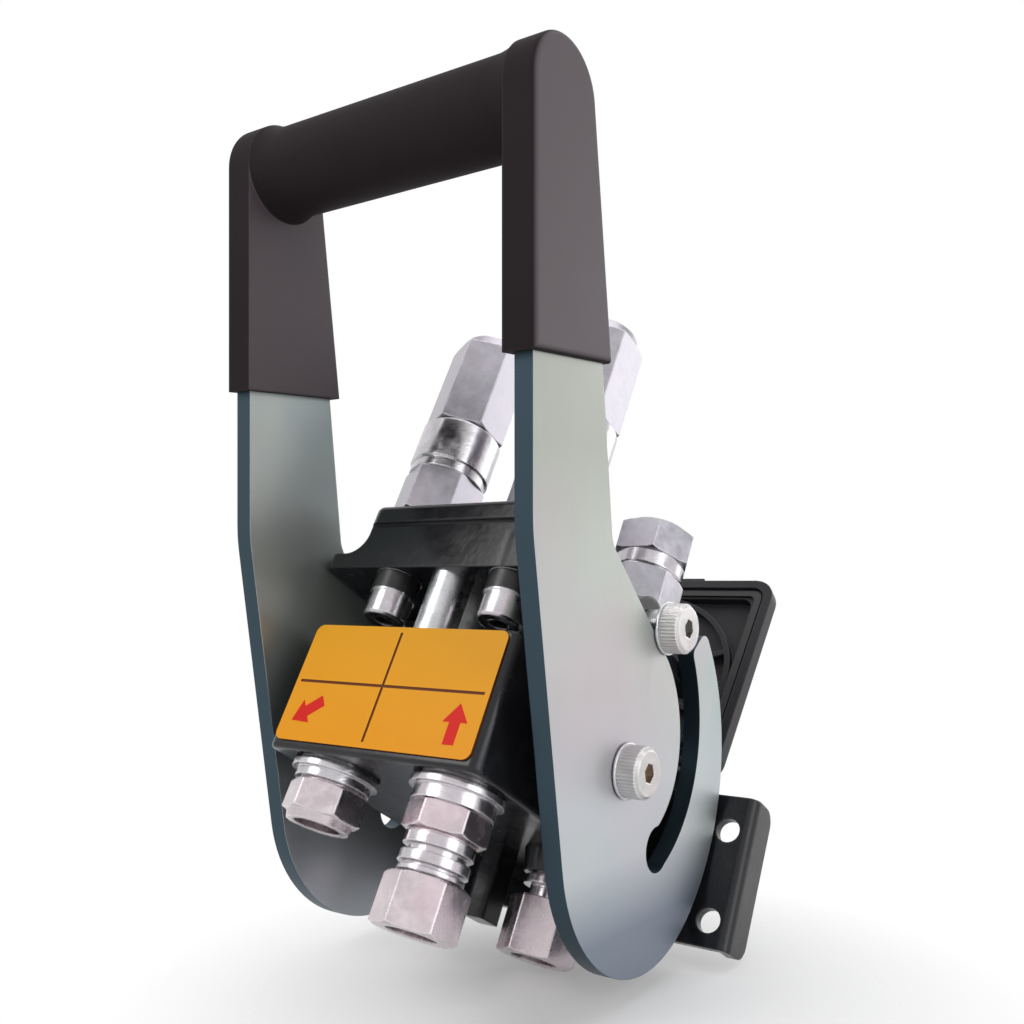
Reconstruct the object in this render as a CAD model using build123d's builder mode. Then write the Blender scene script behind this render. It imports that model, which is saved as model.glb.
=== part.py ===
from build123d import *
from math import acos, atan2, cos, degrees, hypot, radians, sin, sqrt
import os

# Lever-operated hydraulic multi coupler with four lines, in millimetres and degrees.
# Row frame: +X runs across the two lever plates, +Z runs up along the upright lever arms
# and +Y points to the rear. The origin is the centre of the bracket's mounting face.
# The two coupling halves lean back from the lever by the angle below.

# Layout
lean = 30.0                   # tilt of the coupling axes away from the lever arms
line_x = 26.0                 # coupling lines to either side of the middle
line_n = 34.0                 # coupling lines in front of and behind the pivot
upper_rear_n = 38.0           # the rear fittings on the moving half sit a little further back
stroke = 16.6                 # travel of the moving half from open to locked
lever_angle = 111.0           # turn of the lever from open to locked
body_gap = 0.4                # side gap between pieces that move past each other
running_play = 0.05           # radial play of a shaft that turns or slides in its bore
overlap = 1.0                 # how far a feature reaches into the one that it is fused with
match_tolerance = 0.01        # for finding edges by their place

# Lever plates
lever_width = 124.0           # over the outer faces of both plates
plate_thickness = 6.4
arm_front = -53.3             # front edge of the arm, measured from the pivot
arm_bend_height = 76.0        # height where the front edge bends back
arm_bend_radius = 60.0
arm_rear = -14.7              # rear edge of the arm at the grip line
arm_taper = 6.4               # slope of the rear edge
arm_notch_radius = 10.0
grip_line = 129.0             # height of the grip's lower edge above the pivot
rim_radius = 73.0             # rear rim, centred on the pivot
heel_radius = 51.0            # lower front rim
heel_angle = -54.5            # where the heel runs into the rim
hook_angle = 36.0             # where the hook ends
hook_outer_fillet = 4.5
hook_inner_fillet = 3.0
hook_depth = 15.0             # from the rim to the root of the hook
ramp_angle = 44.0             # direction that the entry ramp faces

# Cam pin and slot
pin_offset = 2.0              # the cam pin's line runs this far behind the pivot
pin_height = 53.0             # height of the cam pin above the pivot when open
roller_diameter = 13.0
roller_play = 0.4
slot_end_relief = 1.0         # the pocket in which the roller locks
slot_lead = 4.3               # widening of the slot at its mouth
slot_outer_play = 0.8
slot_steps = 12               # steps of the lever's turn that shape the slot
cam_shank_diameter = 9.0
cam_boss_diameter = 22.0

# Grip
grip_diameter = 30.4
grip_axis_y = -39.0
grip_axis_z = 204.2
grip_dome_radius = 17.0
grip_skin = 2.5
grip_bottom_slope = 3.5
grip_edge_fillet = 2.0
grip_flare_length = 9.0
grip_flare_middle = 0.4       # place of the flare's middle point along its length
grip_flare_swell = 0.5        # how far the flare stands off the bar there
grip_flare_inset = 0.2        # between the flare's wide end and the dome
tube_diameter = 18.0
tube_wall = 2.0

# Screws of the pivot and of the cam rollers
pivot_shank_diameter = 12.0
pivot_thread_diameter = 10.0
pivot_thread_length = 9.0
bush_wall = 2.0
pivot_boss_diameter = 34.0
head_diameter = 17.2
head_height = 7.4
head_bevel = 1.2
head_grooves = 44
head_groove_diameter = 0.9
socket_flats = 6.0
socket_depth = 5.0
socket_turn = 12.0
bevel_slope = 35.0
washer_diameter = 18.4
washer_thickness = 0.8
cam_thread_diameter = 8.0
cam_thread_length = 12.0

# Fixed half
block_width = 88.0
block_front = -52.0
block_rear = 52.0
block_bottom = -23.0
block_top = 23.5
block_fillet = 4.0
block_edge_fillet = 1.5
neck_width = 72.0
rim_clearance = 2.0           # between the lever plates' rims and the bracket
neck_rear = rim_radius + rim_clearance
neck_bottom = -20.0
neck_top = 12.0
neck_corner = 4.0
foot_width = 8.6
foot_front = 28.0
foot_rear = 40.0
foot_bottom = -50.0
foot_corner = 1.5
panel_width = 82.0
panel_bottom = -20.3
panel_top = 22.5
panel_thickness = 0.8
panel_corner = 3.0
panel_groove = 1.0            # width of the dividing grooves
panel_groove_depth = 0.25
panel_margin = 2.0            # from the panel's edge to the ends of the grooves
panel_split_x = -2.0

# Sockets and valves in the fixed half
socket_diameter = 21.6
socket_bottom = -20.0
socket_x = 25.0               # noses and sockets to either side of the middle
socket_front_n = -40.0
socket_rear_n = 34.0
cavity_diameter = 16.4
cavity_bottom = -2.0
valve_diameter = 15.2
valve_face = 21.6
valve_length = 11.0
valve_stem_diameter = 6.0
valve_stem_bottom = -10.0
valve_stem_hole_bottom = -19.0
valve_travel = 7.6
mouth_depth = 1.2             # step at the mouth of each socket
mouth_widening = 3.0
seal_height = 2.4
seal_top = 18.0
seal_outer_diameter = 19.4
seal_inner_diameter = 16.0

# Lines below the fixed half
port_diameter = 16.4
port_depth = 12.0
nut_flats = 24.0
nut_chamfer_height = 0.7
nut_chamfer_width = 1.5
nut_corner_relief = 0.1       # taken off across the corners
nut_face_inset = 1.0          # the round face starts this far inside the flats
nut_face_diameter = 21.4      # round face where a line ends
left_collar_diameter = 26.0
left_collar_height = 6.0
left_rim_diameter = 30.0
left_rim_drop = 1.0           # from the block to the collar's rim
collar_rim_height = 2.0
left_neck_diameter = 22.0
left_neck_height = 1.0
left_nut_height = 10.0
left_face_height = 2.8
right_collar_diameter = 27.0
right_collar_height = 7.8
right_rim_diameter = 31.0
right_rim_drop = 1.2
right_nut_height = 8.7
right_face_height = 0.9
right_face_diameter = 20.0
union_ring_diameter = 22.6
union_groove_diameter = 18.4
union_step_heights = (3.6, 2.2, 3.2, 1.2)    # ring, groove, ring and groove
union_lip_diameter = 21.4
union_lip_height = 1.6
union_spigot_diameter = 17.0
union_spigot_height = 0.8
union_nut_height = 16.0
rear_cone_height = 8.0
rear_cone_low_diameter = 23.0
rear_cone_top_diameter = 27.0
rear_neck_steps = ((1.0, 17.0), (3.0, 21.0), (4.5, 16.0))   # height and diameter of each step
rear_nut_height = 19.5
rear_nut_turn = 21.0          # how the rear nuts happen to be turned, in degrees

# Moving half
cast_front = -49.0
cast_rear = 50.0
cast_width = 77.0
cast_bottom = 48.0
cast_height = 25.8
flange_width = 109.0
flange_thickness = 6.0
flange_blend = 8.5
flange_corner = 4.0
rim_height = 7.8
rim_proud = 1.6
rim_corner = 5.0
rim_fillet = 2.5
nozzle_diameter = 15.6
nozzle_bottom = 31.0
nozzle_seat_diameter = 17.0
nozzle_seat_depth = 14.0
nozzle_tip_bevel = 0.7
nozzle_tip_height = 1.0
passage_depth = 5.0
nozzle_bead_height = 0.8
nozzle_bead_diameter = 16.4
nozzle_collar_bottom = 41.0
nozzle_collar_diameter = 16.4
passage_diameter = 12.0
flow_diameter = 7.0
fitting_flats = 27.0
long_base_height = 19.2
long_step_height = 4.0
long_collar_height = 16.4
long_bevel_height = 1.8
long_collar_low_diameter = 29.0
long_collar_diameter = 30.6
long_hexagon_height = 36.8
long_end_height = 4.0
long_end_low_diameter = 26.4
long_end_diameter = 24.0
short_base_height = 19.7
short_step_height = 0.8
short_collar_height = 5.7
short_collar_low_diameter = 27.0
short_collar_diameter = 28.6
short_nut_flats = 28.8
short_nut_height = 13.2
short_end_height = 1.2
short_end_low_diameter = 28.4
short_end_diameter = 26.6
short_port_depth = 9.0
guide_diameter = 14.4
guide_front_n = -40.5
guide_rear_n = 40.0
guide_bottom = 2.0
guide_bush_diameter = 18.0
guide_bush_bottom = -19.0
guide_seat_depth = 20.0
guide_tip_height = 2.0
guide_tip_bevel = 1.5

# Mounting bracket
bracket_half_width = 75.5
bracket_thickness = 4.0
bracket_top = 20.6
bracket_bottom = -35.8
bracket_return_rear = neck_rear + 16.5
bracket_bend_radius = 4.0
bracket_corner = 6.0
bracket_hole_diameter = 9.0
bracket_hole_x = 66.5
bracket_hole_pitch = 33.6
bracket_centre_u = -9.5       # height of the mounting centre above the pivot
bracket_screw_x = 26.0
bracket_screw_u = 9.0
bracket_screw_diameter = 6.0
bracket_screw_head = 12.0
bracket_screw_cone = 3.0
bracket_screw_depth = 16.0
bracket_screw_end_gap = 1.0   # left free below the screw's end
bracket_screw_socket = 4.0
bracket_socket_depth = 2.0

# Dust lid
lid_half_width = 55.2
lid_lean = 10.5               # how far the open lid leans back from the coupling axes
hinge_n = neck_rear + 7.0
hinge_u = 26.6
hinge_barrel = 12.0
hinge_pin_diameter = 6.0
hinge_knuckle_x = 39.0
hinge_knuckle_width = 10.0
hinge_arm_width = 16.0
hinge_barrel_gap = 1.0        # between the bracket's knuckles and the lid
hinge_pin_proud = 1.0
lid_start = 0.0               # lower edge of the lid above the hinge
lid_end = 99.5                # upper edge of the lid above the hinge
lid_rim = 5.5                 # the rim lies this far in front of the hinge line
lid_depth = 8.5
lid_floor = 2.5
lid_wall = 4.0
lid_step_width = 5.0
lid_step_depth = 2.0
lid_corner = 10.0
lid_inner_corner = 5.0
lid_rib = 2.4
lid_ring_radius = 46.0
lid_ring_below_top = 54.0
lid_tab_width = 46.0
lid_tab_height = 5.0
lid_tab_slope = 62.0
lid_tab_thickness = 4.0
lid_back_fillet = 3.0
lid_spokes = 8
lid_spoke_length = 19.0
lid_spoke_inset = 10.0        # from the ring to the middle of each spoke
lid_rib_height = 3.5
lid_seal_width = 3.0
lid_seal_rise = 1.0
lid_seal_gap = 1.0            # between the seal and the lid's wall
lid_seal_inner_corner = 3.0

# Frame of the coupling halves: n points to the rear, u runs up the coupling axes
axis_u = Vector(0, sin(radians(lean)), cos(radians(lean)))
axis_n = Vector(0, cos(radians(lean)), -sin(radians(lean)))
mount_n = neck_rear + bracket_thickness
pivot_point = axis_n * -mount_n - axis_u * bracket_centre_u
HALVES = Plane(origin=pivot_point, x_dir=(1, 0, 0), z_dir=axis_u)
LEVER = Plane(origin=pivot_point, x_dir=(0, 1, 0), z_dir=(1, 0, 0))

plate_outer = lever_width / 2
plate_inner = plate_outer - plate_thickness
boss_face = plate_inner - body_gap
head_seat = plate_outer + body_gap + washer_thickness

# Heights along the coupling axes, each stacked on the one before
left_collar_bottom = block_bottom - left_collar_height
left_rim_top = block_bottom - left_rim_drop
left_nut_top = left_collar_bottom - left_neck_height
left_nut_bottom = left_nut_top - left_nut_height
left_line_end = left_nut_bottom - left_face_height
right_collar_bottom = block_bottom - right_collar_height
right_rim_top = block_bottom - right_rim_drop
right_nut_bottom = right_collar_bottom - right_nut_height
right_nut_face = right_nut_bottom - right_face_height
union_lip_top = right_nut_face - sum(union_step_heights)
union_lip_bottom = union_lip_top - union_lip_height
union_nut_top = union_lip_bottom - union_spigot_height
union_line_end = union_nut_top - union_nut_height
rear_cone_bottom = block_bottom - rear_cone_height
rear_nut_top = rear_cone_bottom - sum(height for height, diameter in rear_neck_steps)
rear_line_end = rear_nut_top - rear_nut_height
cast_top = cast_bottom + cast_height
flange_top = cast_bottom + flange_thickness
rim_bottom = cast_top - rim_height
nozzle_seat_top = cast_bottom + nozzle_seat_depth
nozzle_bead_bottom = nozzle_collar_bottom - nozzle_bead_height
long_collar_bottom = cast_top + long_base_height
long_collar_step = long_collar_bottom + long_step_height
long_collar_bevel = long_collar_step + long_collar_height
long_collar_top = long_collar_bevel + long_bevel_height
long_hexagon_top = long_collar_top + long_hexagon_height
long_line_end = long_hexagon_top + long_end_height
short_collar_bottom = cast_top + short_base_height
short_collar_step = short_collar_bottom + short_step_height
short_collar_top = short_collar_step + short_collar_height
short_nut_top = short_collar_top + short_nut_height
short_line_end = short_nut_top + short_end_height

parts = {}


def keep(name, part):
    """Label a finished piece and remember it under its name."""
    part.label = name
    parts[name] = part


def at(x, n, u):
    """A plane square to the coupling axes, at a place in the halves' own frame."""
    return Plane(origin=HALVES.from_local_coords(Vector(x, n, u)), x_dir=(1, 0, 0), z_dir=axis_u)


def across(x, n, u):
    """A plane square to +X at a place in the halves' own frame, with n to its right."""
    return Plane(origin=HALVES.from_local_coords(Vector(x, n, u)), x_dir=axis_n, z_dir=(1, 0, 0))


def facing(x, n, u):
    """A plane square to n at a place in the halves' own frame, facing the rear."""
    return Plane(origin=HALVES.from_local_coords(Vector(x, n, u)), x_dir=(-1, 0, 0), z_dir=axis_n)


def both_sides(part):
    """One part made of the given piece and its mirror image on the other side."""
    with BuildPart() as pair:
        add(part)
        mirror(about=Plane.YZ)
    return pair.part


def other_side(part):
    """The mirror image of a piece on the other side."""
    with BuildPart() as image:
        mirror(part, about=Plane.YZ)
    return image.part


def disc(x, n, low, high, diameter, mode=Mode.ADD):
    """A round step along a coupling axis between two heights."""
    with BuildSketch(at(x, n, low)) as step:
        Circle(diameter / 2)
    extrude(step.sketch, amount=high - low, mode=mode)


def cone(x, n, low, high, low_diameter, high_diameter):
    """A tapered step along a coupling axis between two heights."""
    with BuildSketch(at(x, n, low)) as wide:
        Circle(low_diameter / 2)
    with BuildSketch(at(x, n, high)) as narrow:
        Circle(high_diameter / 2)
    loft([wide.sketch, narrow.sketch])


def hexagon(x, n, low, high, flats, rotation=30):
    """A hexagonal step along a coupling axis with its corners turned off at both ends."""
    corner = flats / sqrt(3)
    with BuildPart(mode=Mode.PRIVATE) as nut:
        disc(x, n, low, high, 2 * corner - nut_corner_relief)
        chamfer(nut.edges().filter_by(GeomType.CIRCLE), nut_chamfer_height, nut_chamfer_width)
        with BuildSketch(at(x, n, low)) as six:
            RegularPolygon(corner, 6, rotation=rotation)
        extrude(six.sketch, amount=high - low, mode=Mode.INTERSECT)
    add(nut.part)


def polar(angle, radius):
    """A point of the lever's plane."""
    return (radius * cos(radians(angle)), radius * sin(radians(angle)))


def meet(point_a, angle_a, point_b, angle_b):
    """Where two straight lines cross, each given by a point and its direction."""
    ax, ay = cos(radians(angle_a)), sin(radians(angle_a))
    bx, by = cos(radians(angle_b)), sin(radians(angle_b))
    dx, dy = point_b[0] - point_a[0], point_b[1] - point_a[1]
    along = (dx * by - dy * bx) / (ax * by - ay * bx)
    return (point_a[0] + along * ax, point_a[1] + along * ay)


def touch(point, centre, radius, side):
    """Direction from a circle's centre to where a line from the point touches it."""
    dx, dy = point[0] - centre[0], point[1] - centre[1]
    return degrees(atan2(dy, dx)) + side * degrees(acos(radius / hypot(dx, dy)))


def on_circle(centre, radius, angle):
    """A point of a circle."""
    return (centre[0] + radius * cos(radians(angle)), centre[1] + radius * sin(radians(angle)))


def pin_path(turn):
    """Polar angle and radius of the cam pin in the lever's own plane after a turn."""
    height = pin_height - stroke * turn / lever_angle
    y = pin_offset * cos(radians(lean)) + height * sin(radians(lean))
    z = -pin_offset * sin(radians(lean)) + height * cos(radians(lean))
    return degrees(atan2(z, y)) - turn, hypot(y, z)


def slot_point(turn, side):
    """A point of the slot's inner (side -1) or outer (side +1) flank."""
    angle, radius = pin_path(turn)
    half = roller_diameter / 2 + roller_play
    if side > 0:
        half += slot_outer_play + slot_lead * ((lever_angle - turn) / lever_angle) ** 2
    return polar(angle, radius + side * half)


# Lever plates, with the cam slot that draws the moving half down
pin_start = polar(*pin_path(0))
ramp_distance = (
    pin_start[0] * cos(radians(ramp_angle))
    + pin_start[1] * sin(radians(ramp_angle))
    - roller_diameter / 2
    - roller_play
)
ramp_point = polar(ramp_angle, ramp_distance)
rear_point = (arm_rear, grip_line)
notch_corner = meet(ramp_point, ramp_angle + 90, rear_point, 90 + arm_taper)
bend_corner = (arm_front, arm_bend_height)
heel_centre = polar(heel_angle, rim_radius - heel_radius)
heel_start = touch(bend_corner, heel_centre, heel_radius, 1)
heel_point = on_circle(heel_centre, heel_radius, heel_start)
hook_root = polar(hook_angle, rim_radius - hook_depth)
top_centre = (grip_axis_y, grip_axis_z)
top_radius = top_centre[0] - arm_front
top_end = touch(rear_point, top_centre, top_radius, 1)

with BuildPart() as lever_plate:
    with BuildSketch(LEVER.offset(plate_inner)):
        with BuildLine() as outline:
            Polyline(heel_point, bend_corner, (arm_front, grip_axis_z))
            CenterArc(top_centre, top_radius, 180, top_end - 180)
            Polyline(on_circle(top_centre, top_radius, top_end), rear_point, notch_corner, ramp_point)
            Polyline(ramp_point, hook_root, polar(hook_angle, rim_radius))
            CenterArc((0, 0), rim_radius, hook_angle, heel_angle - hook_angle)
            CenterArc(heel_centre, heel_radius, heel_angle, heel_start - heel_angle - 360)
        make_face()
    extrude(amount=plate_thickness)

    def cross_edge(point):
        """The plate's edge through its thickness nearest to a point of its outline."""
        place = LEVER.offset(plate_inner + plate_thickness / 2).from_local_coords(point)
        return lever_plate.edges().sort_by_distance(place)[0]

    fillet(cross_edge(bend_corner), arm_bend_radius)
    fillet(cross_edge(notch_corner), arm_notch_radius)
    with BuildSketch(LEVER.offset(plate_inner)):
        with BuildLine():
            turns = [lever_angle * i / slot_steps for i in range(slot_steps + 1)]
            inner = Spline([slot_point(turn, -1) for turn in turns])
            outer = Spline([slot_point(turn, 1) for turn in turns])
            Line(inner @ 0, outer @ 0)
            Line(inner @ 1, outer @ 1)
        make_face()
        with Locations(polar(*pin_path(lever_angle))):
            Circle(roller_diameter / 2 + roller_play + slot_end_relief)
    extrude(amount=plate_thickness, mode=Mode.SUBTRACT)
    with BuildSketch(LEVER.offset(plate_inner)):
        Circle(pivot_shank_diameter / 2 + bush_wall)
    extrude(amount=plate_thickness, mode=Mode.SUBTRACT)
    fillet(cross_edge(polar(hook_angle, rim_radius)), hook_outer_fillet)
    fillet(cross_edge(slot_point(pin_path(0)[0] - hook_angle, 1)), hook_inner_fillet)
keep("lever_plate_right", lever_plate.part)
keep("lever_plate_left", other_side(lever_plate.part))

with BuildPart() as pivot_bush:
    with BuildSketch(LEVER.offset(plate_inner)):
        Circle(pivot_shank_diameter / 2 + bush_wall)
        Circle(pivot_shank_diameter / 2 + running_play, mode=Mode.SUBTRACT)
    extrude(amount=plate_thickness)
keep("pivot_bushes", both_sides(pivot_bush.part))

# Tube that joins the two arms, and the moulded grip around both
bar_centre = LEVER.from_local_coords(Vector(*top_centre, 0))
BAR = Plane(origin=bar_centre, x_dir=(0, 1, 0), z_dir=(1, 0, 0))

with BuildPart() as lever_cross_tube:
    with BuildSketch(BAR):
        Circle(tube_diameter / 2)
        Circle(tube_diameter / 2 - tube_wall, mode=Mode.SUBTRACT)
    extrude(amount=plate_inner, both=True)
keep("lever_cross_tube", lever_cross_tube.part)

leg_front = grip_axis_y - grip_dome_radius
leg_bottom = (arm_rear + grip_skin, grip_line)
leg_corner = meet(leg_bottom, 180 + grip_bottom_slope, (leg_front, 0), 90)
leg_touch = touch(leg_bottom, top_centre, grip_dome_radius, 1)
flare_end = plate_inner - grip_skin
flare_radius = grip_dome_radius - grip_flare_inset

with BuildPart() as lever_grip:
    with BuildSketch(LEVER.offset(flare_end)):
        with BuildLine():
            Polyline(on_circle(top_centre, grip_dome_radius, leg_touch), leg_bottom, leg_corner,
                     (leg_front, grip_axis_z))
            CenterArc(top_centre, grip_dome_radius, 180, leg_touch - 180)
        make_face()
    extrude(amount=plate_thickness + 2 * grip_skin)
    outer_rim = lever_grip.faces().sort_by(Axis.X)[-1]
    fillet(outer_rim.outer_wire().edges(), grip_edge_fillet)
    with BuildSketch(Plane(origin=bar_centre, x_dir=(1, 0, 0), z_dir=(0, -1, 0))):
        with BuildLine():
            Polyline((0, grip_diameter / 2), (0, 0), (flare_end + overlap, 0),
                     (flare_end + overlap, flare_radius), (flare_end, flare_radius))
            flare = ThreePointArc(
                (flare_end, flare_radius),
                (flare_end - grip_flare_length * grip_flare_middle, grip_diameter / 2 + grip_flare_swell),
                (flare_end - grip_flare_length, grip_diameter / 2),
            )
            Line(flare @ 1, (0, grip_diameter / 2))
        make_face()
    revolve(axis=Axis(bar_centre, (1, 0, 0)))
    mirror(about=Plane.YZ)
    with BuildSketch(BAR):
        Circle(tube_diameter / 2)
    extrude(amount=plate_inner, both=True, mode=Mode.SUBTRACT)
    add(parts["lever_plate_right"], mode=Mode.SUBTRACT)
    add(parts["lever_plate_left"], mode=Mode.SUBTRACT)
keep("lever_grip", lever_grip.part)


def shoulder_screw(n, u, shank, thread, thread_length):
    """Socket head screw along +X: knurled head, plain shank and a reduced end."""
    with BuildSketch(across(head_seat, n, u)) as head:
        Circle(head_diameter / 2)
        with PolarLocations(head_diameter / 2, head_grooves):
            Circle(head_groove_diameter / 2, mode=Mode.SUBTRACT)
    extrude(head.sketch, amount=head_height - head_bevel)
    with BuildSketch(across(head_seat + head_height - head_bevel, n, u)) as bevel:
        Circle((head_diameter - head_groove_diameter) / 2)
    extrude(bevel.sketch, amount=head_bevel, taper=bevel_slope)
    with BuildSketch(across(head_seat + head_height, n, u)) as socket:
        RegularPolygon(socket_flats / 2, 6, major_radius=False, rotation=socket_turn)
    extrude(socket.sketch, amount=-socket_depth, mode=Mode.SUBTRACT)
    with BuildSketch(across(boss_face, n, u)) as shoulder:
        Circle(shank / 2)
    extrude(shoulder.sketch, amount=head_seat - boss_face)
    with BuildSketch(across(boss_face - thread_length, n, u)) as end:
        Circle(thread / 2)
    extrude(end.sketch, amount=thread_length)


with BuildPart() as pivot_screw:
    shoulder_screw(0, 0, pivot_shank_diameter, pivot_thread_diameter, pivot_thread_length)
keep("pivot_screws", both_sides(pivot_screw.part))

with BuildPart() as cam_screw:
    shoulder_screw(pin_offset, pin_height, cam_shank_diameter, cam_thread_diameter, cam_thread_length)
keep("cam_screws", both_sides(cam_screw.part))

with BuildPart() as pivot_washer:
    with BuildSketch(across(plate_outer + body_gap, 0, 0)):
        Circle(washer_diameter / 2)
        Circle(pivot_shank_diameter / 2, mode=Mode.SUBTRACT)
    extrude(amount=washer_thickness)
keep("pivot_washers", both_sides(pivot_washer.part))

with BuildPart() as cam_washer:
    with BuildSketch(across(plate_outer + body_gap, pin_offset, pin_height)):
        Circle(washer_diameter / 2)
        Circle(cam_shank_diameter / 2, mode=Mode.SUBTRACT)
    extrude(amount=washer_thickness)
keep("cam_washers", both_sides(cam_washer.part))

with BuildPart() as cam_roller:
    with BuildSketch(across(plate_inner, pin_offset, pin_height)):
        Circle(roller_diameter / 2)
        Circle(cam_shank_diameter / 2 + running_play, mode=Mode.SUBTRACT)
    extrude(amount=plate_thickness)
keep("cam_roller_right", cam_roller.part)
keep("cam_roller_left", other_side(cam_roller.part))

# Fixed half
front_places = [(-line_x, -line_n), (line_x, -line_n)]
rear_places = [(-line_x, line_n), (line_x, line_n)]
upper_rear_places = [(-line_x, upper_rear_n), (line_x, upper_rear_n)]
socket_places = [(x, n) for x in (-socket_x, socket_x) for n in (socket_front_n, socket_rear_n)]

with BuildPart() as fixed_block:
    with BuildSketch(at(0, 0, block_bottom)):
        with Locations((0, (block_front + block_rear) / 2)):
            RectangleRounded(block_width, block_rear - block_front, block_fillet)
    extrude(amount=block_top - block_bottom)
    ordered = fixed_block.faces().sort_by(Axis(pivot_point, axis_u))
    fillet(ordered[-1].edges() + ordered[0].edges(), block_edge_fillet)
    for x, n in socket_places:
        disc(x, n, socket_bottom, block_top, socket_diameter, mode=Mode.SUBTRACT)
    for n in (guide_front_n, guide_rear_n):
        disc(0, n, guide_bush_bottom, block_top, guide_bush_diameter, mode=Mode.SUBTRACT)
keep("fixed_block", fixed_block.part)

with BuildPart() as pivot_boss:
    with BuildSketch(across(block_width / 2, 0, 0)):
        Circle(pivot_boss_diameter / 2)
    extrude(amount=boss_face - block_width / 2)
    with BuildSketch(across(boss_face, 0, 0)):
        Circle(pivot_thread_diameter / 2)
    extrude(amount=-pivot_thread_length, mode=Mode.SUBTRACT)
keep("pivot_bosses", both_sides(pivot_boss.part))

with BuildPart() as block_neck:
    with BuildSketch(facing(0, block_rear, (neck_top + neck_bottom) / 2)):
        RectangleRounded(neck_width, neck_top - neck_bottom, neck_corner)
    extrude(amount=neck_rear - block_rear)
    with BuildSketch(facing(0, neck_rear, bracket_centre_u)):
        with GridLocations(2 * bracket_screw_x, 2 * bracket_screw_u, 2, 2):
            Circle(bracket_screw_diameter / 2)
    extrude(amount=-bracket_screw_depth, mode=Mode.SUBTRACT)
keep("block_neck", block_neck.part)

with BuildPart() as block_foot:
    with BuildSketch(at(0, (foot_front + foot_rear) / 2, foot_bottom)):
        RectangleRounded(foot_width, foot_rear - foot_front, foot_corner)
    extrude(amount=block_bottom - foot_bottom)
keep("block_foot", block_foot.part)

with BuildPart() as front_panel:
    with BuildSketch(facing(0, block_front - panel_thickness, (panel_top + panel_bottom) / 2)):
        RectangleRounded(panel_width, panel_top - panel_bottom, panel_corner)
    extrude(amount=panel_thickness)
    with BuildSketch(facing(0, block_front - panel_thickness, (panel_top + panel_bottom) / 2)):
        with Locations((-panel_split_x, 0)):
            Rectangle(panel_groove, panel_top - panel_bottom - 2 * panel_margin)
        Rectangle(panel_width - 2 * panel_margin, panel_groove)
    extrude(amount=panel_groove_depth, mode=Mode.SUBTRACT)
keep("front_panel", front_panel.part)

with BuildPart() as coupling_sockets:
    for x, n in socket_places:
        disc(x, n, socket_bottom, block_top, socket_diameter)
        disc(x, n, cavity_bottom, block_top, cavity_diameter, mode=Mode.SUBTRACT)
        disc(x, n, block_top - mouth_depth, block_top, cavity_diameter + mouth_widening, mode=Mode.SUBTRACT)
        disc(x, n, seal_top - seal_height, seal_top, seal_outer_diameter, mode=Mode.SUBTRACT)
        disc(x, n, valve_stem_hole_bottom, cavity_bottom, valve_stem_diameter + 2 * running_play,
             mode=Mode.SUBTRACT)
keep("coupling_sockets", coupling_sockets.part)

with BuildPart() as socket_seals:
    for x, n in socket_places:
        disc(x, n, seal_top - seal_height, seal_top, seal_outer_diameter)
        disc(x, n, seal_top - seal_height, seal_top, seal_inner_diameter, mode=Mode.SUBTRACT)
keep("socket_seals", socket_seals.part)

with BuildPart() as socket_valves:
    for x, n in socket_places:
        disc(x, n, valve_face - valve_length, valve_face, valve_diameter)
        disc(x, n, valve_stem_bottom, valve_face - valve_length, valve_stem_diameter)
keep("socket_valves", socket_valves.part)

with BuildPart() as guide_bushes:
    for n in (guide_front_n, guide_rear_n):
        disc(0, n, guide_bush_bottom, block_top, guide_bush_diameter)
        disc(0, n, guide_bush_bottom, block_top, guide_diameter + 2 * running_play, mode=Mode.SUBTRACT)
keep("guide_bushes", guide_bushes.part)

# Line ends below the fixed half
with BuildPart() as front_left_collar:
    disc(-line_x, -line_n, left_collar_bottom, block_bottom, left_collar_diameter)
    disc(-line_x, -line_n, left_rim_top - collar_rim_height, left_rim_top, left_rim_diameter)
keep("front_left_collar", front_left_collar.part)

with BuildPart() as front_left_nut:
    hexagon(-line_x, -line_n, left_nut_bottom, left_nut_top, nut_flats)
    disc(-line_x, -line_n, left_nut_top, left_collar_bottom, left_neck_diameter)
    cone(-line_x, -line_n, left_line_end, left_nut_bottom, nut_face_diameter, nut_flats - nut_face_inset)
    disc(-line_x, -line_n, left_line_end, left_line_end + port_depth, port_diameter, mode=Mode.SUBTRACT)
keep("front_left_nut", front_left_nut.part)

with BuildPart() as front_right_collar:
    disc(line_x, -line_n, right_collar_bottom, block_bottom, right_collar_diameter)
    disc(line_x, -line_n, right_rim_top - collar_rim_height, right_rim_top, right_rim_diameter)
keep("front_right_collar", front_right_collar.part)

with BuildPart() as front_right_nut:
    hexagon(line_x, -line_n, right_nut_bottom, right_collar_bottom, nut_flats)
    disc(line_x, -line_n, right_nut_face, right_nut_bottom, right_face_diameter)
keep("front_right_nut", front_right_nut.part)

with BuildPart() as union_neck:
    step_top = right_nut_face
    for height, diameter in zip(union_step_heights, (union_ring_diameter, union_groove_diameter) * 2):
        disc(line_x, -line_n, step_top - height, step_top, diameter)
        step_top -= height
    disc(line_x, -line_n, union_lip_bottom, union_lip_top, union_lip_diameter)
    disc(line_x, -line_n, union_nut_top, union_lip_bottom, union_spigot_diameter)
keep("union_neck", union_neck.part)

with BuildPart() as union_hose_nut:
    hexagon(line_x, -line_n, union_line_end, union_nut_top, nut_flats)
    disc(line_x, -line_n, union_line_end, union_line_end + port_depth, port_diameter, mode=Mode.SUBTRACT)
keep("union_hose_nut", union_hose_nut.part)

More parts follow.
